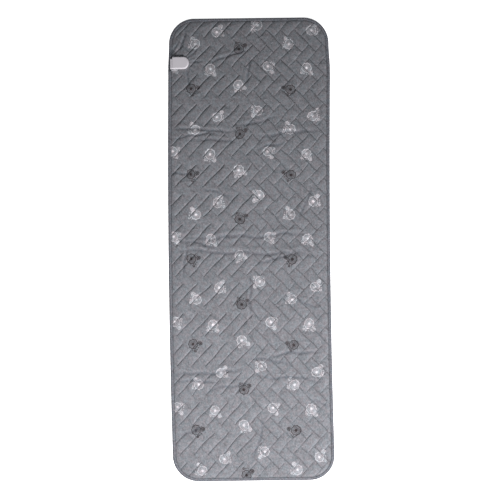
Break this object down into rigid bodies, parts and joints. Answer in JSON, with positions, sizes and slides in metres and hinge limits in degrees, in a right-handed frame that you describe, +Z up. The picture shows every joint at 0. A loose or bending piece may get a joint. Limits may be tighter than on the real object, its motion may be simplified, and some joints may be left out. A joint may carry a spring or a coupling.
{
  "type": "infrared heating mat",
  "caption": "Flat quilted body-length far-infrared heating mat with rounded corners, a bound edge, a socket housing near one corner and fold lines across it.",
  "frame": {"origin": "centre of the underside, on the surface that the mat lies on", "axes": "+X across the mat (the socket housing is on the -X edge), +Y along the mat towards the head end, +Z up through its thickness"},
  "size_m": [0.63, 1.8, 0.0198],
  "materials": {
    "quilted_cover": "matte",
    "wadding": "matte",
    "wire_carrier": "matte",
    "insulation_felt": "matte",
    "backing": "matte",
    "heating_wire": "matte",
    "edge_binding": "matte",
    "housing": "satin",
    "socket_insert": "matte",
    "contact_pin": "satin",
    "crimp_terminal": "satin",
    "terminal_board": "matte",
    "lead_clamp": "matte",
    "screw": "satin",
    "lead_brown": "satin",
    "lead_blue": "satin",
    "lead_white": "satin",
    "thermal_cutout": "satin",
    "splice_sleeve": "matte",
    "sensor_bead": "satin"
  },
  "bodies": {
    "upper_panel": {"quilted_cover_upper": "quilted_cover", "wadding_upper": "wadding", "wire_carrier_upper": "wire_carrier", "insulation_felt_upper": "insulation_felt", "backing_upper": "backing", "heating_wire_upper": "heating_wire", "return_wire_upper": "heating_wire", "edge_binding_upper_left": "edge_binding", "edge_binding_upper_right": "edge_binding"},
    "head_panel": {"quilted_cover_head": "quilted_cover", "wadding_head": "wadding", "wire_carrier_head": "wire_carrier", "insulation_felt_head": "insulation_felt", "backing_head": "backing", "heating_wire_head": "heating_wire", "return_wire_head": "heating_wire", "edge_binding_head": "edge_binding", "connector_base": "housing", "connector_lid": "housing", "socket_insert": "socket_insert", "contact_pin_1": "contact_pin", "contact_pin_2": "contact_pin", "contact_pin_3": "contact_pin", "crimp_terminal_1": "crimp_terminal", "crimp_terminal_2": "crimp_terminal", "crimp_terminal_3": "crimp_terminal", "terminal_board": "terminal_board", "lead_clamp": "lead_clamp", "clamp_screw_1": "screw", "clamp_screw_2": "screw", "housing_screw_1": "screw", "housing_screw_2": "screw", "housing_screw_3": "screw", "housing_screw_4": "screw", "cold_lead_live": "lead_brown", "cold_lead_neutral": "lead_blue", "sensor_lead": "lead_white", "thermal_cutout_live": "thermal_cutout", "splice_sleeve_live": "splice_sleeve", "thermal_cutout_neutral": "thermal_cutout", "splice_sleeve_neutral": "splice_sleeve", "sensor_bead": "sensor_bead"},
    "lower_panel": {"quilted_cover_lower": "quilted_cover", "wadding_lower": "wadding", "wire_carrier_lower": "wire_carrier", "insulation_felt_lower": "insulation_felt", "backing_lower": "backing", "heating_wire_lower": "heating_wire", "return_wire_lower": "heating_wire", "edge_binding_lower_left": "edge_binding", "edge_binding_lower_right": "edge_binding"},
    "foot_panel": {"quilted_cover_foot": "quilted_cover", "wadding_foot": "wadding", "wire_carrier_foot": "wire_carrier", "insulation_felt_foot": "insulation_felt", "backing_foot": "backing", "heating_wire_foot": "heating_wire", "edge_binding_foot": "edge_binding"}
  },
  "joints": [
    {"name": "head_fold", "type": "hinge", "parent": "upper_panel", "child": "head_panel", "pos_m": [0, 0.45, 0.01625], "axis": [1, 0, 0], "range_deg": [0, 180]},
    {"name": "middle_fold", "type": "hinge", "parent": "upper_panel", "child": "lower_panel", "pos_m": [0, 0, 0.02895], "axis": [-1, 0, 0], "range_deg": [0, 180]},
    {"name": "foot_fold", "type": "hinge", "parent": "lower_panel", "child": "foot_panel", "pos_m": [0, -0.45, 0.0124], "axis": [-1, 0, 0], "range_deg": [0, 180]}
  ]
}
